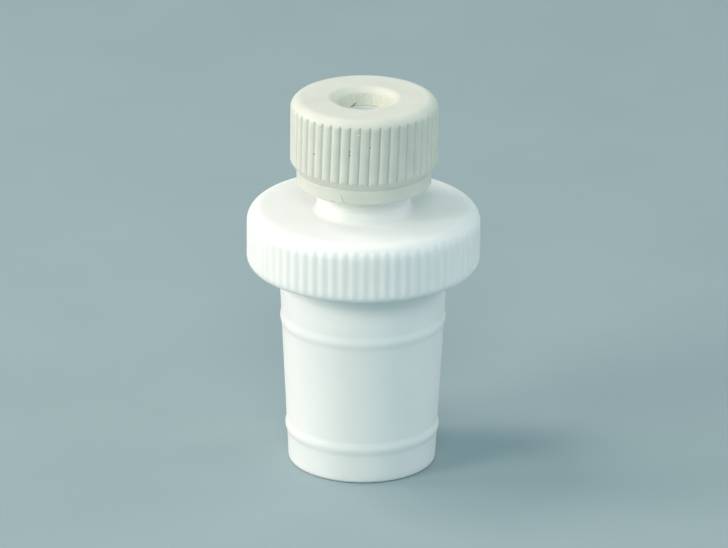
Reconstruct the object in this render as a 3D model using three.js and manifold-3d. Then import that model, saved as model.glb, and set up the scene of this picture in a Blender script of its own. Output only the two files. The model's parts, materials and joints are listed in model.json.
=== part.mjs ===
// Screw-cap adapter for a 29/32 taper joint: a hollow PTFE cone with two sealing beads and a ribbed
// flange, and a threaded neck whose ribbed cap squeezes an O-ring onto a thin tube.
// Units are millimetres. +Z is up, and the origin is the centre of the cone's lower end.
import * as THREE from "three";
import { mergeVertices } from "three/addons/utils/BufferGeometryUtils.js";
import Module from "manifold-3d";

// ---- driving dimensions ----

// Taper cone: 29.2 mm across at 32 mm above its small end, narrowing by 1 in 10.
const gaugeRadius = 14.6;
const gaugeHeight = 32;
const taperPerSide = 0.05;
const coneEndRounding = 0.6;
const cavityRadius = 10.2;
const cavityTop = 31;
const cavityChamfer = 2.2;

// Sealing beads round the cone: how high each sits, and how far it stands out.
const beads = [
  { height: 6.5, stand: 0.28 },
  { height: 26.9, stand: 0.24 },
];
const beadHalfWidth = 1.45;

// Ribbed flange. Its top and bottom are heights above the cone's end. The top is a shallow dish that
// lies deepest at the neck, and the disc's inner edge is buried in the neck's wall.
const flange = {
  radius: 20.5, bottom: 36.75, top: 47.35, lowerRounding: 1.7, upperRounding: 2.6,
  dishDepth: 0.5, innerRadius: 7, ribs: 70, ribDepth: 0.2, ribLandShare: 0.4,
};

// Neck, with its fillet into the flange, and the socket in its top.
const neck = {
  radius: 8.2, fillet: 0.9, shoulder: 51.2, shoulderSlope: 0.2, top: 62, topChamfer: 0.6,
  boreRadius: 3.25, socketRadius: 5.8, socketFloor: 55.5, mouthRadius: 6.8, mouthStart: 59.6,
};

// Coarse round thread, right-hand. The neck's ridge points outwards, the cap's points inwards.
const thread = {
  pitch: 3, baseWidth: 1.5, crestWidth: 0.8, stepsPerTurn: 20, runOutTurns: 0.17, buriedDepth: 0.3,
};
const neckThread = { rootRadius: 8, crestRadius: 8.9, start: 52.6, turns: 2.75 };
const capThread = { rootRadius: 9.2, crestRadius: 8.25, turns: 2.5 };

// Screw cap, as heights above its skirt's lower edge, which sits at capSeat.
const capSeat = 51.95;
const cap = {
  radius: 12.97, height: 15.69, plate: 2.74, skirtRadius: 11.8, skirtHeight: 2.55, gripStart: 4.4,
  topRounding: 2, skirtRounding: 0.3, ribs: 46, ribDepth: 0.37, ribLandShare: 0.45,
  entryRadius: 9.7, entryHeight: 0.65,
  dishRadius: 6.2, lipRadius: 4.65, lipDepth: 0.86, holeRadius: 3.2, holeLand: 0.15,
};

// Sealing stack, from the socket's floor up to the cap's plate.
const stackGap = 0.1;
const tubeClearRadius = 3.1;
const seatRing = { radius: 5.7, height: 1 };
const oRing = { centreRadius: 4.35, sectionRadius: 1.25 };
const clampingRing = { noseGap: 0.3, noseChamfer: 0.3, collarRadius: 7.4, collarHeight: 1.7 };
const slipWasherRadius = 7.6;

// Facets round a full turn, and round the O-ring's section.
const bodyFacets = 48;
const ringFacets = 36;
const sectionFacets = 12;

// Vertices closer than this are one vertex.
const weldDistance = 1e-4;

// ---- heights worked out from the dimensions ----

const seatRingBottom = neck.socketFloor + stackGap;
const oRingBottom = seatRingBottom + seatRing.height + stackGap;
const clampingRingBottom = oRingBottom + 2 * oRing.sectionRadius + stackGap;
const collarBottom = neck.top + clampingRing.noseGap;
const slipWasherBottom = collarBottom + clampingRing.collarHeight + stackGap;
const capPlateBottom = capSeat + cap.height - cap.plate;
const neckFoot = flange.top - flange.dishDepth;

// ---- solids from three.js geometry ----

const wasm = await Module();
wasm.setup();

function toSolid(geometry) {
  const bare = geometry.clone();
  bare.deleteAttribute("normal");
  bare.deleteAttribute("uv");
  const welded = mergeVertices(bare, weldDistance);
  return new wasm.Manifold(new wasm.Mesh({
    numProp: 3,
    vertProperties: Float32Array.from(welded.attributes.position.array),
    triVerts: Uint32Array.from(welded.index.array),
  }));
}

function toGeometry(solid) {
  const mesh = solid.getMesh();
  const geometry = new THREE.BufferGeometry();
  geometry.setAttribute("position", new THREE.BufferAttribute(Float32Array.from(mesh.vertProperties), 3));
  geometry.setIndex(new THREE.BufferAttribute(Uint32Array.from(mesh.triVerts), 1));
  geometry.computeVertexNormals();
  return geometry;
}

// Points of an arc in the plane of radius and height, with its angles in degrees.
function arc(centreRadius, centreHeight, radius, from, to, steps) {
  return Array.from({ length: steps + 1 }, (_, i) => {
    const angle = THREE.MathUtils.degToRad(from + ((to - from) * i) / steps);
    return [centreRadius + radius * Math.cos(angle), centreHeight + radius * Math.sin(angle)];
  });
}

// A ring turned from a closed profile of [radius, height] points, listed anticlockwise.
function turned(profile, facets) {
  const points = [...profile, profile[0]].map(([radius, height]) => new THREE.Vector2(radius, height));
  return new THREE.LatheGeometry(points, facets).rotateX(Math.PI / 2);
}

// How far the corners of a turned ring stand outside the circle that its facets touch.
function cornerFactor(facets) {
  return 1 / Math.cos(Math.PI / facets);
}

// A prism whose outline carries straight ribs, one of them facing -Y. It cuts the ribs of a grip.
function ribbedPrism({ radius, ribs, ribDepth, ribLandShare }, bottom, top) {
  const ribCorners = [
    [-0.5, radius - ribDepth],
    [-ribLandShare / 2, radius],
    [ribLandShare / 2, radius],
  ];
  const outline = [];
  for (let rib = 0; rib < ribs; rib += 1) {
    for (const [share, cornerRadius] of ribCorners) {
      const angle = ((rib + share) / ribs) * 2 * Math.PI - Math.PI / 2;
      outline.push(new THREE.Vector2(cornerRadius * Math.cos(angle), cornerRadius * Math.sin(angle)));
    }
  }
  const depth = top - bottom;
  return new THREE.ExtrudeGeometry(new THREE.Shape(outline), { depth, bevelEnabled: false })
    .translate(0, 0, bottom);
}

// A thread ridge: a trapezoid extruded along a straight line, then wound up a helix that starts at
// -Y. Both ends sink into the wall that carries the ridge.
function threadRidge({ rootRadius, crestRadius, start, turns }) {
  const buriedRadius = rootRadius - Math.sign(crestRadius - rootRadius) * thread.buriedDepth;
  const section = new THREE.Shape([
    new THREE.Vector2(buriedRadius, -thread.baseWidth / 2),
    new THREE.Vector2(rootRadius, -thread.baseWidth / 2),
    new THREE.Vector2(crestRadius, -thread.crestWidth / 2),
    new THREE.Vector2(crestRadius, thread.crestWidth / 2),
    new THREE.Vector2(rootRadius, thread.baseWidth / 2),
    new THREE.Vector2(buriedRadius, thread.baseWidth / 2),
  ]);
  const geometry = new THREE.ExtrudeGeometry(section, {
    depth: turns, steps: Math.round(turns * thread.stepsPerTurn), bevelEnabled: false,
  });
  const endStand = 0.1;
  const position = geometry.attributes.position;
  for (let i = 0; i < position.count; i += 1) {
    const turn = turns - position.getZ(i);
    const rise = Math.min(1, turn / thread.runOutTurns, (turns - turn) / thread.runOutTurns);
    const stand = endStand + (1 - endStand) * rise;
    const radius = buriedRadius + stand * (position.getX(i) - buriedRadius);
    const angle = turn * 2 * Math.PI - Math.PI / 2;
    const height = start + position.getY(i) + thread.pitch * turn;
    position.setXYZ(i, radius * Math.cos(angle), radius * Math.sin(angle), height);
  }
  return geometry;
}

// ---- joint body ----

function coneRadius(height) {
  return gaugeRadius - taperPerSide * (gaugeHeight - height);
}

function beadOutline({ height, stand }) {
  return [-1, -0.5, 0, 0.5, 1].map((share) => {
    const z = height + share * beadHalfWidth;
    return [coneRadius(z) + stand * Math.cos((share * Math.PI) / 2) ** 2, z];
  });
}

// Cone and neck in one, stepping inwards inside the flange. The neck's fillet starts just below the
// flange's dished top, so that it crosses that face instead of lying along it.
function coneAndNeck() {
  const insideFlange = (flange.bottom + flange.top) / 2;
  const fillet = arc(neck.radius + neck.fillet, neckFoot + neck.fillet, neck.fillet, 262, 180, 3);
  const outside = [
    [cavityRadius, 0],
    ...arc(coneRadius(0) - coneEndRounding, coneEndRounding, coneEndRounding, -90, 0, 2),
    ...beads.flatMap(beadOutline),
    [coneRadius(insideFlange), insideFlange],
    [fillet[0][0], insideFlange],
    ...fillet,
    [neck.radius, neck.shoulder],
    [neckThread.rootRadius, neck.shoulder + neck.shoulderSlope],
    [neckThread.rootRadius, neck.top - neck.topChamfer],
    [neckThread.rootRadius - neck.topChamfer, neck.top],
  ];
  const inside = [
    [neck.mouthRadius, neck.top],
    [neck.socketRadius, neck.mouthStart],
    [neck.socketRadius, neck.socketFloor],
    [neck.boreRadius, neck.socketFloor],
    [neck.boreRadius, cavityTop],
    [cavityRadius - cavityChamfer, cavityTop],
    [cavityRadius, cavityTop - cavityChamfer],
  ];
  return toSolid(turned([...outside, ...inside], bodyFacets));
}

function ribbedFlange() {
  const outerRadius = flange.radius * cornerFactor(flange.ribs);
  const { lowerRounding, upperRounding } = flange;
  const disc = turned([
    [flange.innerRadius, flange.bottom],
    ...arc(outerRadius - lowerRounding, flange.bottom + lowerRounding, lowerRounding, -90, 0, 2),
    ...arc(outerRadius - upperRounding, flange.top - upperRounding, upperRounding, 0, 90, 3),
    [neck.radius, neckFoot],
    [flange.innerRadius, neckFoot],
  ], flange.ribs);
  const ribs = ribbedPrism(flange, flange.bottom - 1, flange.top + 1);
  return toSolid(disc).intersect(toSolid(ribs));
}

function jointBody() {
  const ridge = toSolid(threadRidge(neckThread));
  return toGeometry(coneAndNeck().add(ribbedFlange()).add(ridge));
}

// ---- screw cap, in its own heights ----

function screwCap() {
  const gripRadius = cap.radius * cornerFactor(cap.ribs);
  const { topRounding, skirtRounding } = cap;
  const plateBottom = cap.height - cap.plate;
  const shell = turned([
    [cap.entryRadius, 0],
    ...arc(cap.skirtRadius - skirtRounding, skirtRounding, skirtRounding, -90, 0, 2),
    [cap.skirtRadius, cap.skirtHeight],
    [gripRadius, cap.gripStart],
    ...arc(gripRadius - topRounding, cap.height - topRounding, topRounding, 0, 90, 3),
    [cap.dishRadius, cap.height],
    [cap.lipRadius, cap.height - cap.lipDepth],
    [cap.holeRadius, plateBottom + cap.holeLand],
    [cap.holeRadius, plateBottom],
    [capThread.rootRadius, plateBottom],
    [capThread.rootRadius, cap.entryHeight],
  ], cap.ribs);
  const ribs = ribbedPrism(cap, -1, cap.height + 1);
  const start = neckThread.start + thread.pitch / 2 - capSeat;
  const ridge = threadRidge({ ...capThread, start });
  return toGeometry(toSolid(shell).intersect(toSolid(ribs)).add(toSolid(ridge)));
}

// ---- rings of the sealing stack, each standing on its own lower face ----

function flatRing(innerRadius, radius, height) {
  return turned([[innerRadius, 0], [radius, 0], [radius, height], [innerRadius, height]], ringFacets);
}

function roundRing({ centreRadius, sectionRadius }) {
  const section = arc(centreRadius, sectionRadius, sectionRadius, 0, 360, sectionFacets);
  return turned(section.slice(0, -1), ringFacets);
}

// The nose keeps an even gap to the neck's conical mouth, and the collar sits above the neck.
function noseAndCollar() {
  const mouthSlope = (neck.mouthRadius - neck.socketRadius) / (neck.top - neck.mouthStart);
  const noseRadius = neck.socketRadius - clampingRing.noseGap;
  const flankStart = neck.mouthStart - clampingRingBottom;
  const collarStart = collarBottom - clampingRingBottom;
  const collarEnd = collarStart + clampingRing.collarHeight;
  return turned([
    [tubeClearRadius, 0],
    [noseRadius - clampingRing.noseChamfer, 0],
    [noseRadius, flankStart],
    [noseRadius + mouthSlope * (collarStart - flankStart), collarStart],
    [clampingRing.collarRadius, collarStart],
    [clampingRing.collarRadius, collarEnd],
    [tubeClearRadius, collarEnd],
  ], ringFacets);
}

// ---- assembly ----

const slipWasherHeight = capPlateBottom - stackGap - slipWasherBottom;

const pieces = [
  { name: "joint_body", geometry: jointBody(), bottom: 0, finish: { color: 0xf1f5f2, roughness: 0.42 } },
  {
    name: "seat_ring",
    geometry: flatRing(tubeClearRadius, seatRing.radius, seatRing.height),
    bottom: seatRingBottom,
    finish: { color: 0xeff2ee, roughness: 0.45 },
  },
  {
    name: "o_ring",
    geometry: roundRing(oRing),
    bottom: oRingBottom,
    finish: { color: 0x2b2826, roughness: 0.6 },
  },
  {
    name: "clamping_ring",
    geometry: noseAndCollar(),
    bottom: clampingRingBottom,
    finish: { color: 0xeff2ee, roughness: 0.45 },
  },
  {
    name: "slip_washer",
    geometry: flatRing(tubeClearRadius, slipWasherRadius, slipWasherHeight),
    bottom: slipWasherBottom,
    finish: { color: 0xf3f5f1, roughness: 0.4 },
  },
  { name: "screw_cap", geometry: screwCap(), bottom: capSeat, finish: { color: 0xdde1d3, roughness: 0.5 } },
];

const adapter = new THREE.Group();
for (const { name, geometry, bottom, finish } of pieces) {
  const mesh = new THREE.Mesh(geometry, new THREE.MeshStandardMaterial({ ...finish, metalness: 0 }));
  mesh.name = name;
  mesh.position.z = bottom;
  adapter.add(mesh);
}

export default adapter;
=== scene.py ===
"""Looks of the screw-cap taper adapter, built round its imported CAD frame.

Turned and moulded pieces are closed surfaces of revolution: a rounded section is swept round the
axis, and a shape function cuts ribs or winds a thread into it. Lengths are in metres.
"""
import json
import math

import bpy
import numpy as np
from mathutils import Matrix, Vector, noise


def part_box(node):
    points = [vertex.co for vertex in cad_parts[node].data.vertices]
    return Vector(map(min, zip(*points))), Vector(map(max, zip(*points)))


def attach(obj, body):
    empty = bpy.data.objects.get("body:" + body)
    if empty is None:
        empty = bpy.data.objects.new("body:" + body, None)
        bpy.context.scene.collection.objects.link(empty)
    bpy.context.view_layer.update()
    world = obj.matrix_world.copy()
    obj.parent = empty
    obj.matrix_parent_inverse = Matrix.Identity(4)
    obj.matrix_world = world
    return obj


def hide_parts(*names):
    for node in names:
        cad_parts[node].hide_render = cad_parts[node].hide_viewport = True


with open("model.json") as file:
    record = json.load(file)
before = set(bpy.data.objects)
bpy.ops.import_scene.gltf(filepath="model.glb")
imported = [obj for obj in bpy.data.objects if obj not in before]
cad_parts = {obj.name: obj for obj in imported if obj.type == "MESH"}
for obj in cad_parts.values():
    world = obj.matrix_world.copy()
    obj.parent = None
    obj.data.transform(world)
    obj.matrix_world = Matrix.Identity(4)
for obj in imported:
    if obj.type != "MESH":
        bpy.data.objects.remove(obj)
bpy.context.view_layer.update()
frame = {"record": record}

MM = 0.001
TURN = 2 * math.pi

# ---- sizes taken from the frame ----

record = frame["record"]
mount_height = {mount["name"]: mount["pos_m"][2] for mount in record["mounts"]}
body_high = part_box("joint_body")[1]
cap_low, cap_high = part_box("screw_cap")
washer_low, washer_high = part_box("slip_washer")
clamp_low, clamp_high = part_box("clamping_ring")
o_ring_low, o_ring_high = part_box("o_ring")
seat_low, seat_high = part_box("seat_ring")

# Taper cone: 29.2 mm across at 32 mm above its small end, narrowing by 1 in 10.
GAUGE_RADIUS = 14.6 * MM
GAUGE_HEIGHT = 32 * MM
TAPER_PER_SIDE = 0.05
CONE_END_ROUNDING = 0.6 * MM
CAVITY_RADIUS = 10.2 * MM
CAVITY_TOP = 31 * MM
CAVITY_TOP_RADIUS = 8 * MM
CAVITY_SLOPE_HEIGHT = 2.2 * MM
# Each bead has a height of its middle and how far it stands out.
BEADS = [(6.5 * MM, 0.28 * MM), (26.9 * MM, 0.24 * MM)]
BEAD_HALF_WIDTH = 1.45 * MM
BEAD_SLENDERNESS = 1.7
CONE_TOOL_LINE = 33.4 * MM

# Ribbed flange. The ribs start below its top edge, and half as far above its lower one.
FLANGE_RADIUS = body_high.x
FLANGE_BOTTOM = mount_height["flange_underside"]
FLANGE_TOP = FLANGE_BOTTOM + 10.6 * MM
FLANGE_LOWER_ROUNDING = 1.7 * MM
FLANGE_UPPER_ROUNDING = 2.6 * MM
FLANGE_RIBS = 70
FLANGE_RIB_DEPTH = 0.18 * MM
FLANGE_RIB_START = 0.5 * MM
FLANGE_RIB_FADE = 1.2 * MM
FLANGE_DISH = 0.5 * MM
FLANGE_DISH_CURVE = 2.5

# Neck and its socket.
NECK_RADIUS = 8.2 * MM
NECK_FILLET = 0.9 * MM
NECK_FOOT = FLANGE_TOP - FLANGE_DISH
NECK_TOOL_LINE = FLANGE_TOP + 1.8 * MM
NECK_TOP = body_high.z
NECK_SHOULDER = NECK_TOP - 10.8 * MM
BORE_RADIUS = 3.25 * MM
SOCKET_RADIUS = 5.8 * MM
SOCKET_FLOOR = NECK_TOP - 6.5 * MM
MOUTH_RADIUS = 6.8 * MM
MOUTH_DEPTH = 2.4 * MM

# Thread. Its pitch is the coupling's lift of the cap in metres per radian, times a turn.
THREAD_PITCH = record["behaviour"]["couplings"][0]["ratio"] * TURN
THREAD_BASE_WIDTH = 1.5 * MM
THREAD_CREST_WIDTH = 0.8 * MM
THREAD_RUN_OUT_TURNS = 0.17
NECK_THREAD_ROOT = 8 * MM
NECK_THREAD_CREST = 8.9 * MM
NECK_THREAD_START = NECK_TOP - 9.4 * MM
NECK_THREAD_TURNS = 2.75
NECK_THREAD_BELOW_TOP = 0.3 * MM
CAP_THREAD_ROOT = 9.2 * MM
CAP_THREAD_CREST = 8.25 * MM
CAP_THREAD_TURNS = 2.5

# Screw cap. The skirt's height and the grip's start are measured from the cap's lower edge, and the
# twist of the ribs is in radians for each metre of height.
CAP_RADIUS = cap_high.x
CAP_BOTTOM = cap_low.z
CAP_TOP = cap_high.z
CAP_SKIRT_RADIUS = 11.8 * MM
CAP_SKIRT_HEIGHT = 2.55 * MM
CAP_GRIP_START = 4.4 * MM
CAP_TOP_ROUNDING = 2.0 * MM
CAP_PLATE = 2.74 * MM
CAP_HOLE_RADIUS = 3.2 * MM
CAP_COUNTERSINK_RADIUS = 6 * MM
CAP_MOUTH_RADIUS = 9.7 * MM
CAP_RIBS = 46
CAP_RIB_CROWN = 0.32 * MM
CAP_RIB_CURVE = 0.65
CAP_RIB_FADE = 0.8 * MM
CAP_RIB_SOFTNESS = 0.05 * MM
# Where a groove's flank starts and how wide it is. A rib's middle is 0 and a groove's middle is 1.
CAP_GROOVE_START = 0.76
CAP_GROOVE_FLANK = 0.16
CAP_GROOVE_DEPTH = 0.1 * MM
CAP_RIB_TWIST = 2.85
CAP_CREASE = 0.12 * MM
CAP_LIP_RADIUS = 4.65 * MM
CAP_LIP_DEPTH = 0.86 * MM

# Rings of the sealing stack.
TUBE_CLEAR_RADIUS = 3.1 * MM
RING_EDGE = 0.05 * MM
RING_STEPS = 144
CLAMP_GAP = 0.3 * MM
CLAMP_NOSE_TAPER = 0.3 * MM
WASHER_GAP = 0.015 * MM

# Smooth shading breaks at edges that are sharper than this.
SHARP_ANGLE = math.radians(50)

# Lights, in metres from the adapter and across.
LIGHT_DISTANCE = 1.1
LIGHT_SIZE = 0.4


# ---- sections: corners to points ----

def cone_radius(height):
    return GAUGE_RADIUS - TAPER_PER_SIDE * (GAUGE_HEIGHT - height)


def rounded_path(corners, arc_step=math.radians(9), spacing=None):
    """Points along an open path of (radius, height, rounding) corners, each corner turned into an arc.

    A flat stretch gets a point close to each end, so that smooth shading stays flat in between,
    and further points where it is longer than spacing.
    """
    points = []
    support = 0.06 * MM
    for index, (radius, height, rounding) in enumerate(corners):
        here = Vector((radius, height))
        if rounding == 0 or index in (0, len(corners) - 1):
            arc = [here]
        else:
            back = (Vector(corners[index - 1][:2]) - here).normalized()
            ahead = (Vector(corners[index + 1][:2]) - here).normalized()
            turn = math.pi - back.angle(ahead)
            reach = rounding * math.tan(turn / 2)
            centre = here + (back + ahead).normalized() * (rounding / math.cos(turn / 2))
            start = here + back * reach - centre
            steps = max(2, round(turn / arc_step))
            side = 1 if back.y * ahead.x > back.x * ahead.y else -1
            arc = []
            for step in range(steps + 1):
                angle = side * turn * step / steps
                cosine, sine = math.cos(angle), math.sin(angle)
                spoke = Vector((start.x * cosine - start.y * sine, start.x * sine + start.y * cosine))
                arc.append(centre + spoke)
        if points:
            points += straight_points(points[-1], arc[0], support, spacing)
        points += arc
    return [(point.x, point.y) for point in points]


def straight_points(start, end, support, spacing):
    """Points between start and end, both left out."""
    length = (end - start).length
    if length < 4 * support:
        return []
    along = (end - start) / length
    distances = [support]
    if spacing and length > spacing:
        count = math.ceil(length / spacing)
        distances += [length * step / count for step in range(1, count)]
    distances.append(length - support)
    return [start + along * distance for distance in distances]


# ---- surfaces of revolution ----

def smooth_min(a, b, softness):
    """The smaller of a and b, with the crease between them rounded over about softness."""
    return 0.5 * (a + b - np.sqrt((a - b) ** 2 + softness**2))


def plain_round(radius, height, angle):
    return np.full_like(angle, radius)


def no_lean(height):
    return 0.0


def revolved(name, bands, lean=no_lean):
    """A closed mesh swept round the axis. Each band is (angles round, section points, shape).

    The bands follow each other anticlockwise round the section and the last one joins the first.
    Neighbouring bands may differ in steps by a whole factor, and meet on a flat stretch. Angles run
    anticlockwise from -Y, and lean turns the whole ring at each height.
    """
    rings = []
    positions = []
    start = 0
    for angles, points, shape in bands:
        for radius, height in points:
            turned = angles + lean(height)
            radii = shape(radius, height, turned)
            x, y = radii * np.sin(turned), -radii * np.cos(turned)
            positions.append(np.column_stack((x, y, np.full_like(x, height))))
            rings.append((start, len(angles)))
            start += len(angles)
    faces = []
    for index, (start, steps) in enumerate(rings):
        next_start, next_steps = rings[(index + 1) % len(rings)]
        faces += ring_faces(start, steps, next_start, next_steps)
    mesh = bpy.data.meshes.new(name)
    mesh.from_pydata(np.vstack(positions).tolist(), [], faces)
    mesh.validate()
    mesh.shade_smooth()
    mesh.set_sharp_from_angle(angle=SHARP_ANGLE)
    piece = bpy.data.objects.new(name, mesh)
    bpy.context.scene.collection.objects.link(piece)
    return piece


def ring_faces(start, steps, next_start, next_steps):
    """Faces between two rings. Where one ring is finer, each face takes several of its edges."""
    coarse = min(steps, next_steps)
    lower_share, upper_share = steps // coarse, next_steps // coarse
    faces = []
    for index in range(coarse):
        lower = [start + (index * lower_share + k) % steps for k in range(lower_share + 1)]
        upper = [next_start + (index * upper_share + k) % next_steps for k in range(upper_share + 1)]
        faces.append(lower + upper[::-1])
    return faces


def even_angles(steps):
    return np.arange(steps) / steps * TURN


def on_side(radius, angle, height):
    """A point at an angle round the axis, in degrees from -Y towards +X."""
    across = math.radians(angle)
    return (radius * math.sin(across), -radius * math.cos(across), height)


def rib_angles(ribs, shares):
    """Angles round a ribbed surface: each rib has one at every share of its width."""
    return (np.arange(ribs)[:, None] + np.array(shares)[None, :]).ravel() / ribs * TURN


def rib_place(angle, ribs):
    """Where an angle lies on its rib, from -0.5 to 0.5, with 0 at the middle of the rib."""
    place = angle / TURN * ribs + 0.5
    return place - np.floor(place) - 0.5


def thread_height(height, angle, start, turns):
    """How far a thread ridge stands at a height and angle, from 0 to 1."""
    turn = angle / TURN
    nearest = np.round((height - start) / THREAD_PITCH - turn)
    along = nearest + turn
    offset = np.abs(height - start - along * THREAD_PITCH)
    half_crest, half_base = THREAD_CREST_WIDTH / 2, THREAD_BASE_WIDTH / 2
    flank = np.clip((half_base - offset) / (half_base - half_crest), 0, 1)
    rise = np.clip(np.minimum(along, turns - along) / THREAD_RUN_OUT_TURNS, 0, 1)
    return smoothstep(flank) * smoothstep(rise)


def smoothstep(share):
    return share * share * (3 - 2 * share)


# ---- joint body ----

def bead_path():
    """The cone's side with its two beads, each a smooth swell."""
    points = []
    for centre, stand in BEADS:
        for share in np.linspace(-1, 1, 25):
            height = centre + share * BEAD_HALF_WIDTH
            swell = math.cos(share * math.pi / 2) ** BEAD_SLENDERNESS
            points.append((cone_radius(height) + stand * swell, height))
    return points


def flange_side(height):
    """Radius of the flange's side at a height, with its rounded edges and before its ribs."""
    into_top = max(0, height - (FLANGE_TOP - FLANGE_UPPER_ROUNDING))
    into_bottom = max(0, FLANGE_BOTTOM + FLANGE_LOWER_ROUNDING - height)
    top_inset = FLANGE_UPPER_ROUNDING - math.sqrt(FLANGE_UPPER_ROUNDING**2 - into_top**2)
    bottom_inset = FLANGE_LOWER_ROUNDING - math.sqrt(FLANGE_LOWER_ROUNDING**2 - into_bottom**2)
    return FLANGE_RADIUS - top_inset - bottom_inset


def flange_ribs(radius, height, angle):
    """Low soft waves round the rim, which fade out on its rounded edges."""
    from_top = FLANGE_TOP - FLANGE_RIB_START - height
    from_bottom = height - FLANGE_BOTTOM - FLANGE_RIB_START / 2
    fade = smoothstep(min(max(min(from_top, from_bottom) / FLANGE_RIB_FADE, 0), 1))
    wave = 0.5 - 0.5 * np.cos(rib_place(angle, FLANGE_RIBS) * TURN)
    return radius - FLANGE_RIB_DEPTH * fade * wave


def flange_top(radius):
    """Height of the flange's top, a shallow dish that is deepest at the neck."""
    dish_radius = FLANGE_RADIUS - FLANGE_UPPER_ROUNDING
    share = (dish_radius - radius) / (dish_radius - NECK_RADIUS)
    return FLANGE_TOP - FLANGE_DISH * share**FLANGE_DISH_CURVE


def neck_radius(height):
    return NECK_RADIUS


def tool_line(radius_at, height, half_width, depth, burr=0.0):
    """Section corners of a fine groove round a turned side, with a slight burr above it."""
    below, above = height - half_width, height + half_width
    return [
        (radius_at(below), below, 0),
        (radius_at(height) - depth, height, 0),
        (radius_at(above) + burr, above, 0),
    ]


def neck_thread(radius, height, angle):
    """The thread's ridge. It moves every wall between the shoulder and the top, inside and out."""
    ridge = thread_height(height, angle, NECK_THREAD_START, NECK_THREAD_TURNS)
    carried = NECK_SHOULDER < height < NECK_TOP - NECK_THREAD_BELOW_TOP
    return radius + (NECK_THREAD_CREST - NECK_THREAD_ROOT) * carried * ridge


def joint_body():
    """The turned body: up over the cone, flange and neck, then down the socket, bore and hollow."""
    fine, coarse = even_angles(FLANGE_RIBS * 12), even_angles(FLANGE_RIBS * 3)
    cone_at_flange = cone_radius(FLANGE_BOTTOM)
    cone_foot = rounded_path([
        (CAVITY_RADIUS, 0, 0),
        (cone_radius(0), 0, CONE_END_ROUNDING),
        (cone_radius(2 * MM), 2 * MM, 0),
    ])
    under_flange = rounded_path([
        *tool_line(cone_radius, CONE_TOOL_LINE, 0.12 * MM, 0.04 * MM),
        (cone_at_flange, FLANGE_BOTTOM, 0.25 * MM),
        (cone_at_flange + 1 * MM, FLANGE_BOTTOM, 0),
    ])
    # The flange's top is followed inwards in steps, from where its rounded edge has ended.
    top_radii = [FLANGE_RADIUS - step * MM for step in range(5, 12)]
    top_start, *dished_top, top_end = [(radius, flange_top(radius)) for radius in top_radii]
    rim = rounded_path([
        (cone_at_flange + 2 * MM, FLANGE_BOTTOM, 0),
        (FLANGE_RADIUS, FLANGE_BOTTOM, FLANGE_LOWER_ROUNDING),
        (FLANGE_RADIUS, FLANGE_TOP, FLANGE_UPPER_ROUNDING),
        (*top_start, 0),
    ], arc_step=math.radians(3.5), spacing=1 * MM)
    neck_foot = rounded_path([
        (*top_end, 0),
        (NECK_RADIUS, NECK_FOOT, NECK_FILLET),
        *tool_line(neck_radius, NECK_TOOL_LINE, 0.08 * MM, 0.05 * MM, burr=0.02 * MM),
        (NECK_RADIUS, NECK_SHOULDER, 0.08 * MM),
        (NECK_THREAD_ROOT, NECK_SHOULDER + 0.2 * MM, 0),
    ])
    threaded = rounded_path([
        (NECK_THREAD_ROOT, NECK_SHOULDER + 0.3 * MM, 0),
        (NECK_THREAD_ROOT, NECK_TOP, 0.6 * MM),
        (MOUTH_RADIUS, NECK_TOP, 0.15 * MM),
        (SOCKET_RADIUS, NECK_TOP - MOUTH_DEPTH, 0.2 * MM),
        (SOCKET_RADIUS, SOCKET_FLOOR, 0.3 * MM),
        (BORE_RADIUS, SOCKET_FLOOR, 0.2 * MM),
        (BORE_RADIUS, CAVITY_TOP, 0.3 * MM),
        (CAVITY_TOP_RADIUS, CAVITY_TOP, 0.3 * MM),
        (CAVITY_RADIUS, CAVITY_TOP - CAVITY_SLOPE_HEIGHT, 1 * MM),
        (CAVITY_RADIUS, 0.1 * MM, 0),
    ], spacing=0.16 * MM)
    piece = revolved("joint_body_turned", [
        (coarse, cone_foot + bead_path() + under_flange, plain_round),
        (fine, rim, flange_ribs),
        (coarse, dished_top + neck_foot, plain_round),
        (coarse, threaded, neck_thread),
    ])
    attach(piece, "gland_body")
    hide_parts("joint_body")
    return piece


# ---- screw cap ----

def cap_lean(height):
    """How far the ribs have turned at a height: they lean slightly round the cap as they rise."""
    return (height - (CAP_BOTTOM + CAP_TOP) / 2) * CAP_RIB_TWIST


def cap_ribs(radius, height, angle):
    """Convex ribs that meet in narrow grooves, and fade out on the rounded top edge."""
    place = np.abs(rib_place(angle - cap_lean(height), CAP_RIBS)) * 2
    fade = smoothstep(min(1, max(0, (CAP_TOP - CAP_RIB_FADE - height) / CAP_RIB_FADE)))
    crown = (1 - np.sqrt(1 - (CAP_RIB_CURVE * place) ** 2)) / (1 - math.sqrt(1 - CAP_RIB_CURVE**2))
    groove = smoothstep(np.clip((place - CAP_GROOVE_START) / CAP_GROOVE_FLANK, 0, 1))
    rib = CAP_RADIUS - CAP_RIB_CROWN * crown - CAP_GROOVE_DEPTH * groove
    return radius + (smooth_min(radius, rib, CAP_RIB_SOFTNESS) - radius) * fade


def cap_thread(radius, height, angle):
    start = NECK_THREAD_START + THREAD_PITCH / 2
    ridge = thread_height(height, angle, start, CAP_THREAD_TURNS)
    carried = radius > CAP_THREAD_CREST
    return radius - (CAP_THREAD_ROOT - CAP_THREAD_CREST) * carried * ridge


def rough_dish(radius, height, angle):
    """The countersunk wall is torn and uneven, and the moulded lip round it is smooth."""
    on_wall = CAP_HOLE_RADIUS <= radius < CAP_LIP_RADIUS
    points = [Vector((radius * math.sin(turned), -radius * math.cos(turned), height)) for turned in angle]
    roughness = np.zeros(len(points))
    for size, depth in ((0.9 * MM, 0.03 * MM), (0.35 * MM, 0.025 * MM)):
        roughness += depth * np.array([noise.noise(point / size) for point in points])
    return radius + roughness * on_wall


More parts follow.
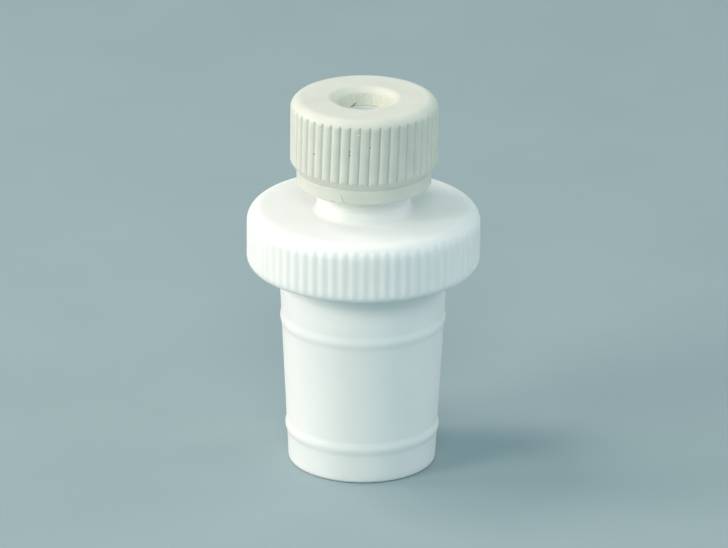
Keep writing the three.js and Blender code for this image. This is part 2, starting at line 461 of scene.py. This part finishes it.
def screw_cap():
    """The moulded cap. Its bands meet on its flat lower edge and on the flat ring of its top."""
    shares = [-0.5, -0.46, -0.42, -0.38, -0.28, -0.14, 0, 0.14, 0.28, 0.38, 0.42, 0.46]
    fine = rib_angles(CAP_RIBS, shares)
    coarse = fine[::3]
    plate_bottom = CAP_TOP - CAP_PLATE
    outside = rounded_path([
        (10.6 * MM, CAP_BOTTOM, 0),
        (CAP_SKIRT_RADIUS, CAP_BOTTOM, 0.45 * MM),
        (CAP_SKIRT_RADIUS, CAP_BOTTOM + CAP_SKIRT_HEIGHT - CAP_CREASE, 0),
        (CAP_SKIRT_RADIUS - 0.6 * CAP_CREASE, CAP_BOTTOM + CAP_SKIRT_HEIGHT, 0),
        (CAP_RADIUS, CAP_BOTTOM + CAP_GRIP_START, 0.3 * MM),
        (CAP_RADIUS, CAP_TOP, CAP_TOP_ROUNDING),
        (8.2 * MM, CAP_TOP, 0),
    ], arc_step=math.radians(3), spacing=0.12 * MM)
    dish = rounded_path([
        (7.6 * MM, CAP_TOP, 0),
        (CAP_COUNTERSINK_RADIUS, CAP_TOP, 1.6 * MM),
        (CAP_LIP_RADIUS, CAP_TOP - CAP_LIP_DEPTH, 0.6 * MM),
        (CAP_HOLE_RADIUS, plate_bottom + 0.15 * MM, 0.05 * MM),
        (CAP_HOLE_RADIUS, plate_bottom + 0.05 * MM, 0),
    ], spacing=0.12 * MM)
    inside = rounded_path([
        (CAP_HOLE_RADIUS + 0.05 * MM, plate_bottom, 0),
        (CAP_THREAD_ROOT, plate_bottom, 0.3 * MM),
        (CAP_THREAD_ROOT, CAP_BOTTOM + 0.65 * MM, 0.1 * MM),
        (CAP_MOUTH_RADIUS, CAP_BOTTOM, 0.1 * MM),
        (10.2 * MM, CAP_BOTTOM, 0),
    ], spacing=0.16 * MM)
    piece = revolved("screw_cap_moulded", [
        (fine, outside, cap_ribs),
        (coarse, dish, rough_dish),
        (coarse, inside, cap_thread),
    ], lean=cap_lean)
    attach(piece, "cap")
    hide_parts("screw_cap")
    return piece


def on_skirt(angle, height, stand):
    """A point stand metres off the cap's skirt, at a height above its lower edge."""
    return Vector(on_side(CAP_SKIRT_RADIUS + stand, angle, CAP_BOTTOM + height))


def flash_curl():
    """A thin curl of moulding flash on the skirt, which hangs a little below the cap's lower edge."""
    # Each bend has an angle, then in mm a height, how far it stands off the skirt, and a half width.
    route = [
        (-20.4, 1.65, 0.0, 0.06),
        (-19.6, 1.2, 0.02, 0.13),
        (-18.4, 0.6, 0.02, 0.12),
        (-16.0, 0.05, 0.04, 0.09),
        (-13.2, -0.32, 0.05, 0.09),
        (-10.0, -0.42, -0.1, 0.1),
        (-7.4, -0.3, -0.25, 0.08),
        (-5.4, -0.1, -0.35, 0.03),
    ]
    bends = [on_skirt(angle, height * MM, stand * MM) for angle, height, stand, _ in route]
    half_widths = [half_width * MM for *_, half_width in route]
    piece = swept_thread("cap_flash_curl", bends, half_widths)
    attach(piece, "cap")
    return piece


def swept_thread(name, bends, half_widths, steps_between=4, sides=8):
    """A closed round thread through the bends, with its own half width at each of them."""
    centres = []
    widths = []
    last = len(bends) - 1
    for index in range(last):
        before, start = bends[max(index - 1, 0)], bends[index]
        end, after = bends[index + 1], bends[min(index + 2, last)]
        for step in range(steps_between + (index == last - 1)):
            share = step / steps_between
            centres.append(smooth_between(before, start, end, after, share))
            widths.append(half_widths[index] + (half_widths[index + 1] - half_widths[index]) * share)
    positions = []
    for index, (centre, width) in enumerate(zip(centres, widths)):
        ahead = centres[min(index + 1, len(centres) - 1)] - centres[max(index - 1, 0)]
        outwards = Vector((centre.x, centre.y, 0)).normalized()
        side = ahead.cross(outwards).normalized()
        for corner in range(sides):
            angle = corner / sides * TURN
            positions.append(centre + width * (math.cos(angle) * side + math.sin(angle) * outwards))
    faces = [list(range(sides))]
    for index in range(len(centres) - 1):
        faces += ring_faces(index * sides, sides, (index + 1) * sides, sides)
    faces.append([len(positions) - 1 - corner for corner in range(sides)])
    mesh = bpy.data.meshes.new(name)
    mesh.from_pydata([tuple(position) for position in positions], [], faces)
    mesh.validate()
    mesh.shade_smooth()
    piece = bpy.data.objects.new(name, mesh)
    bpy.context.scene.collection.objects.link(piece)
    return piece


def smooth_between(before, start, end, after, share):
    """A point on the smooth curve from start to end, whose bends before and after shape it."""
    bend = 2 * before - 5 * start + 4 * end - after
    swing = 3 * start - 3 * end + after - before
    return start + 0.5 * share * (end - before + share * (bend + share * swing))


# ---- rings of the sealing stack ----

def ring_with_section(name, corners, node, body):
    """A turned ring from a closed section of (radius, height, rounding) corners."""
    first, second = Vector(corners[0][:2]), Vector(corners[1][:2])
    middle = (first + second) / 2
    path = rounded_path([(middle.x, middle.y, 0), *corners[1:], corners[0], (middle.x, middle.y, 0)])
    piece = revolved(name, [(even_angles(RING_STEPS), path[:-1], plain_round)])
    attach(piece, body)
    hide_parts(node)
    return piece


def flat_ring(name, low, high, node, body):
    corners = [
        (TUBE_CLEAR_RADIUS, low.z, RING_EDGE),
        (high.x, low.z, RING_EDGE),
        (high.x, high.z, RING_EDGE),
        (TUBE_CLEAR_RADIUS, high.z, RING_EDGE),
    ]
    return ring_with_section(name, corners, node, body)


def seat_ring():
    return flat_ring("seat_ring_turned", seat_low, seat_high, "seat_ring", "gland_body")


def slip_washer():
    """The washer fills the space up to the cap's plate, so that its edge shows through the hole."""
    touching_plate = Vector((washer_high.x, washer_high.y, CAP_TOP - CAP_PLATE - WASHER_GAP))
    return flat_ring("slip_washer_turned", washer_low, touching_plate, "slip_washer", "clamping_set")


def clamping_ring():
    """A ring with a conical nose in the neck's mouth and a collar that stays clear of its top."""
    nose_radius = SOCKET_RADIUS - CLAMP_GAP
    collar_bottom = NECK_TOP + CLAMP_GAP
    flank_start = NECK_TOP - MOUTH_DEPTH
    slope = (MOUTH_RADIUS - SOCKET_RADIUS) / MOUTH_DEPTH
    corners = [
        (TUBE_CLEAR_RADIUS, clamp_low.z, RING_EDGE),
        (nose_radius - CLAMP_NOSE_TAPER, clamp_low.z, RING_EDGE),
        (nose_radius, flank_start, RING_EDGE),
        (nose_radius + slope * (collar_bottom - flank_start), collar_bottom, RING_EDGE),
        (clamp_high.x, collar_bottom, RING_EDGE),
        (clamp_high.x, clamp_high.z, RING_EDGE),
        (TUBE_CLEAR_RADIUS, clamp_high.z, RING_EDGE),
    ]
    return ring_with_section("clamping_ring_turned", corners, "clamping_ring", "clamping_set")


def o_ring():
    cord_radius = (o_ring_high.z - o_ring_low.z) / 2
    centre_radius = o_ring_high.x - cord_radius
    centre_height = (o_ring_high.z + o_ring_low.z) / 2
    points = []
    for angle in even_angles(32):
        radius = centre_radius + cord_radius * math.cos(angle)
        points.append((radius, centre_height + cord_radius * math.sin(angle)))
    piece = revolved("o_ring_moulded", [(even_angles(RING_STEPS), points, plain_round)])
    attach(piece, "gland_body")
    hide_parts("o_ring")
    return piece


# ---- materials ----

def new_material(name):
    material = bpy.data.materials.new(name)
    material.use_nodes = True
    nodes = material.node_tree.nodes
    shader = next(node for node in nodes if node.type == "BSDF_PRINCIPLED")
    return material, nodes, material.node_tree.links, shader


def object_point(nodes):
    return nodes.new("ShaderNodeTexCoord").outputs["Object"]


def noise_texture(nodes, links, point, size, detail=3.0):
    """Noise whose features are about size metres across."""
    texture = nodes.new("ShaderNodeTexNoise")
    texture.inputs["Scale"].default_value = 1 / size
    texture.inputs["Detail"].default_value = detail
    links.new(point, texture.inputs["Vector"])
    return texture.outputs["Fac"]


def colour_ramp(nodes, links, factor, stops):
    ramp = nodes.new("ShaderNodeValToRGB")
    elements = ramp.color_ramp.elements
    while len(elements) < len(stops):
        elements.new(0.5)
    for element, (place, colour) in zip(elements, stops):
        element.position = place
        element.color = (*colour, 1)
    links.new(factor, ramp.inputs["Fac"])
    return ramp.outputs["Color"]


def value_range(nodes, links, value, low, high, to_low, to_high):
    mapped = nodes.new("ShaderNodeMapRange")
    for label, number in (("From Min", low), ("From Max", high), ("To Min", to_low), ("To Max", to_high)):
        mapped.inputs[label].default_value = number
    links.new(value, mapped.inputs["Value"])
    return mapped.outputs["Result"]


def mixed_colour(nodes, links, factor, under, over):
    """The colour under, covered by the colour over where factor is 1. Each is a value or a socket."""
    mix = nodes.new("ShaderNodeMix")
    mix.data_type = "RGBA"
    links.new(factor, mix.inputs["Factor"])
    for socket, colour in ((mix.inputs["A"], under), (mix.inputs["B"], over)):
        if isinstance(colour, tuple):
            socket.default_value = (*colour, 1)
        else:
            links.new(colour, socket)
    return mix.outputs["Result"]


def specks(nodes, links, point, spacing, size, share):
    """A mask of small round specks, at most one in each cell of a grid that is spacing metres wide.

    A speck's radius is a little less than size, and share is the part of the cells that have one.
    """
    cells = nodes.new("ShaderNodeTexVoronoi")
    cells.inputs["Scale"].default_value = 1 / spacing
    links.new(point, cells.inputs["Vector"])
    radius = size / spacing
    near = value_range(nodes, links, cells.outputs["Distance"], radius / 2, radius, 1, 0)
    chosen = nodes.new("ShaderNodeSeparateColor")
    links.new(cells.outputs["Color"], chosen.inputs["Color"])
    picked = value_range(nodes, links, chosen.outputs["Red"], share * 0.9, share, 1, 0)
    return calculated(nodes, links, "MULTIPLY", near, picked)


def marks(nodes, links, point, places, size):
    """A mask of single round marks, each about size metres across, at the given places."""
    mask = None
    for place in places:
        offset = nodes.new("ShaderNodeVectorMath")
        offset.operation = "DISTANCE"
        links.new(point, offset.inputs[0])
        offset.inputs[1].default_value = place
        mark = value_range(nodes, links, offset.outputs["Value"], size * 0.3, size * 0.6, 1, 0)
        mask = mark if mask is None else calculated(nodes, links, "MAXIMUM", mask, mark)
    return mask


def calculated(nodes, links, operation, first, second):
    node = nodes.new("ShaderNodeMath")
    node.operation = operation
    links.new(first, node.inputs[0])
    links.new(second, node.inputs[1])
    return node.outputs["Value"]


def distance_from_axis(nodes, links, point):
    flat = nodes.new("ShaderNodeVectorMath")
    flat.operation = "MULTIPLY"
    links.new(point, flat.inputs[0])
    flat.inputs[1].default_value = (1, 1, 0)
    length = nodes.new("ShaderNodeVectorMath")
    length.operation = "LENGTH"
    links.new(flat.outputs["Vector"], length.inputs[0])
    return length.outputs["Value"]


def bumped(nodes, links, shader, height, distance, strength, under=None):
    """Relief of height times distance on the shader, on top of the relief under it."""
    bump = nodes.new("ShaderNodeBump")
    bump.inputs["Distance"].default_value = distance
    bump.inputs["Strength"].default_value = strength
    links.new(height, bump.inputs["Height"])
    if under is not None:
        links.new(under, bump.inputs["Normal"])
    links.new(bump.outputs["Normal"], shader.inputs["Normal"])
    return bump.outputs["Normal"]


def turning_lines(nodes, links, point, size):
    """Noise stretched round the axis, which depends on height and only a little on angle."""
    stretch = nodes.new("ShaderNodeMapping")
    stretch.inputs["Scale"].default_value = (0.02, 0.02, 1)
    links.new(point, stretch.inputs["Vector"])
    return noise_texture(nodes, links, stretch.outputs["Vector"], size, detail=4)


def on_rim(angle, height):
    """A point near the flange's ribbed side, at an angle in degrees from -Y towards +X.

    It has the depth of the ribs a quarter turn away, which is half a rib out of step. A mark on a
    crest or in a groove is therefore a little off the surface, and shows faintly or not at all.
    """
    radius = flange_ribs(flange_side(height), height, math.radians(angle) - TURN / 4)
    return on_side(float(radius), angle, height)


def ptfe_material(name, light_reach):
    """Satin white PTFE. Light goes about light_reach metres into it before it comes out again."""
    material, nodes, links, shader = new_material(name)
    point = object_point(nodes)
    mottle = noise_texture(nodes, links, point, 9 * MM)
    colour = colour_ramp(nodes, links, mottle, [(0.3, (0.87, 0.9, 0.885)), (0.7, (0.9, 0.925, 0.91))])
    dust = specks(nodes, links, point, 3.2 * MM, 0.07 * MM, 0.2)
    colour = mixed_colour(nodes, links, dust, colour, (0.5, 0.49, 0.45))
    rim_dirt = [on_rim(angle, FLANGE_BOTTOM + height * MM) for angle, height in (
        (-31.7, 9.1), (-25, 10.2), (11.9, 9.2), (22.8, 6.8), (40.6, 8.3), (5.6, 4.4),
    )]
    dirt = marks(nodes, links, point, rim_dirt, 0.22 * MM)
    colour = mixed_colour(nodes, links, dirt, colour, (0.48, 0.46, 0.41))
    links.new(colour, shader.inputs["Base Color"])
    lines = turning_lines(nodes, links, point, 0.25 * MM)
    links.new(value_range(nodes, links, lines, 0.3, 0.7, 0.34, 0.46), shader.inputs["Roughness"])
    fine = bumped(nodes, links, shader, lines, 0.01 * MM, strength=0.5)
    bumped(nodes, links, shader, noise_texture(nodes, links, point, 1.2 * MM), 0.02 * MM, 0.4, fine)
    shader.inputs["IOR"].default_value = 1.38
    shader.inputs["Subsurface Weight"].default_value = 1.0
    shader.inputs["Subsurface Radius"].default_value = (1.0, 0.97, 0.93)
    shader.inputs["Subsurface Scale"].default_value = light_reach
    return material


def cap_material():
    """Cream moulded plastic with dirt in its grooves, a chip on its edge, and a countersink wall coloured
    darker and greener than the rest.
    """
    material, nodes, links, shader = new_material("cap_moulded_plastic")
    point = object_point(nodes)
    mottle = noise_texture(nodes, links, point, 4 * MM)
    colour = colour_ramp(nodes, links, mottle, [(0.3, (0.685, 0.705, 0.635)), (0.7, (0.73, 0.75, 0.68))])
    dust = specks(nodes, links, point, 2.2 * MM, 0.08 * MM, 0.2)
    colour = mixed_colour(nodes, links, dust, colour, (0.42, 0.38, 0.3))
    groove_dirt = [on_side(CAP_RADIUS - 0.36 * MM, angle, CAP_BOTTOM + height * MM) for angle, height in (
        (-43.5, 8.5), (-11.5, 10.1), (-11.5, 9.4), (4.9, 11.0),
    )]
    edge_dirt = [on_side(CAP_SKIRT_RADIUS, -26.2, CAP_BOTTOM + 0.2 * MM)]
    dirt = marks(nodes, links, point, groove_dirt + edge_dirt, 0.3 * MM)
    colour = mixed_colour(nodes, links, dirt, colour, (0.25, 0.22, 0.17))
    chip_place = on_side(CAP_RADIUS - 0.1 * MM, -4.5, CAP_TOP - 2.35 * MM)
    chip = marks(nodes, links, point, [chip_place], 0.4 * MM)
    colour = mixed_colour(nodes, links, chip, colour, (1.0, 1.0, 0.97))
    # The countersink's wall inside its lip is coloured darker and greener than the rest of the cap.
    axis_distance = distance_from_axis(nodes, links, point)
    wall_end, wall_fade_end = CAP_LIP_RADIUS - 0.3 * MM, CAP_LIP_RADIUS + 0.5 * MM
    cut_wall = value_range(nodes, links, axis_distance, wall_end, wall_fade_end, 1, 0)
    countersink_wall_colour = colour_ramp(nodes, links, noise_texture(nodes, links, point, 0.5 * MM), [
        (0.3, (0.53, 0.575, 0.49)), (0.7, (0.63, 0.67, 0.58)),
    ])
    colour = mixed_colour(nodes, links, cut_wall, colour, countersink_wall_colour)
    fleck_start = Vector(on_side(CAP_HOLE_RADIUS, -135, CAP_TOP - 2.6 * MM))
    fleck_end = Vector(on_side(CAP_HOLE_RADIUS + 0.3 * MM, -155, CAP_TOP - 2.25 * MM))
    fleck_places = [fleck_start.lerp(fleck_end, share) for share in (0, 0.22, 0.44, 0.66, 0.88)]
    fleck = marks(nodes, links, point, fleck_places, 0.3 * MM)
    colour = mixed_colour(nodes, links, fleck, colour, (0.2, 0.14, 0.03))
    links.new(colour, shader.inputs["Base Color"])
    grain = noise_texture(nodes, links, point, 0.22 * MM)
    links.new(value_range(nodes, links, grain, 0.3, 0.7, 0.42, 0.6), shader.inputs["Roughness"])
    bumped(nodes, links, shader, grain, 0.025 * MM, strength=0.6)
    shader.inputs["IOR"].default_value = 1.5
    shader.inputs["Subsurface Weight"].default_value = 0.4
    shader.inputs["Subsurface Radius"].default_value = (1.0, 0.95, 0.85)
    shader.inputs["Subsurface Scale"].default_value = 0.5 * MM
    return material


def rubber_material():
    material, nodes, links, shader = new_material("seal_rubber_dark")
    point = object_point(nodes)
    bloom = noise_texture(nodes, links, point, 1.5 * MM)
    colour = colour_ramp(nodes, links, bloom, [(0.3, (0.018, 0.016, 0.015)), (0.75, (0.045, 0.04, 0.036))])
    links.new(colour, shader.inputs["Base Color"])
    links.new(value_range(nodes, links, bloom, 0.3, 0.7, 0.4, 0.58), shader.inputs["Roughness"])
    bumped(nodes, links, shader, noise_texture(nodes, links, point, 0.15 * MM), 0.01 * MM, strength=0.5)
    return material


def give(material, *pieces):
    for piece in pieces:
        piece.data.materials.clear()
        piece.data.materials.append(material)


# ---- stage, lights and camera ----

def studio_floor():
    half = 3.0
    corners = [(-half, -half, 0), (half, -half, 0), (half, half, 0), (-half, half, 0)]
    mesh = bpy.data.meshes.new("floor")
    mesh.from_pydata(corners, [], [(0, 1, 2, 3)])
    floor = bpy.data.objects.new("floor", mesh)
    bpy.context.scene.collection.objects.link(floor)
    material, nodes, links, shader = new_material("floor_paper")
    mottle = noise_texture(nodes, links, object_point(nodes), 30 * MM)
    colour = colour_ramp(nodes, links, mottle, [(0.3, (0.3, 0.4, 0.43)), (0.7, (0.315, 0.415, 0.445))])
    links.new(colour, shader.inputs["Base Color"])
    shader.inputs["Roughness"].default_value = 0.85
    mesh.materials.append(material)


def area_light(name, azimuth, elevation, power, colour):
    """A round soft box aimed at the adapter. Azimuth 0 is on the camera's side, and 90 at the right."""
    light = bpy.data.lights.new(name, "AREA")
    light.shape = "DISK"
    light.size = LIGHT_SIZE
    light.energy = power
    light.color = colour
    lamp = bpy.data.objects.new(name, light)
    aim = Vector((0, 0, 0.5 * CAP_TOP))
    rise = math.radians(elevation)
    direction = Vector(on_side(math.cos(rise), azimuth, math.sin(rise)))
    lamp.location = aim + direction * LIGHT_DISTANCE
    lamp.rotation_euler = (aim - lamp.location).to_track_quat("-Z", "Y").to_euler()
    bpy.context.scene.collection.objects.link(lamp)


def studio_lights():
    area_light("left_low", -95, 20, 4.3, (1.0, 0.79, 0.79))
    area_light("left_front", -60, 26, 4.8, (1.0, 0.9, 0.75))
    area_light("left_high", -110, 60, 3.2, (1.0, 0.79, 0.7))
    area_light("front", 0, 40, 2.2, (1.0, 0.99, 1.0))
    area_light("right_front", 70, 30, 1.4, (0.87, 0.83, 1.0))
    area_light("right_back", 110, 30, 1.6, (1.0, 0.91, 0.81))
    world = bpy.data.worlds.new("studio")
    world.use_nodes = True
    background = next(node for node in world.node_tree.nodes if node.type == "BACKGROUND")
    background.inputs["Color"].default_value = (0.71, 0.985, 1.0, 1)
    background.inputs["Strength"].default_value = 0.45
    bpy.context.scene.world = world
    bpy.context.scene.view_settings.view_transform = "Standard"


def photo_camera():
    pitch = math.radians(21.5)
    roll = math.radians(0.45)
    distance = 1.135
    target = Vector((0.14 * MM, 0, 34.57 * MM))
    lens = bpy.data.cameras.new("camera")
    lens.sensor_width = 36
    lens.lens = 319
    lens.clip_end = 20
    camera = bpy.data.objects.new("camera", lens)
    back = Vector((0, -math.cos(pitch), math.sin(pitch)))
    place = Matrix.Translation(target + back * distance)
    facing = (-back).to_track_quat("-Z", "Y").to_matrix().to_4x4()
    camera.matrix_world = place @ facing @ Matrix.Rotation(roll, 4, "Z")
    bpy.context.scene.collection.objects.link(camera)
    bpy.context.scene.camera = camera


# ---- making it ----

photo_camera()
studio_floor()
studio_lights()

ptfe = ptfe_material("ptfe_turned", 1.2 * MM)
thin_ptfe = ptfe_material("ptfe_thin_ring", 0.2 * MM)
cap_plastic = cap_material()
rubber = rubber_material()

give(ptfe, joint_body())
give(thin_ptfe, seat_ring())
give(thin_ptfe, slip_washer())
give(thin_ptfe, clamping_ring())
give(rubber, o_ring())
give(cap_plastic, screw_cap(), flash_curl())
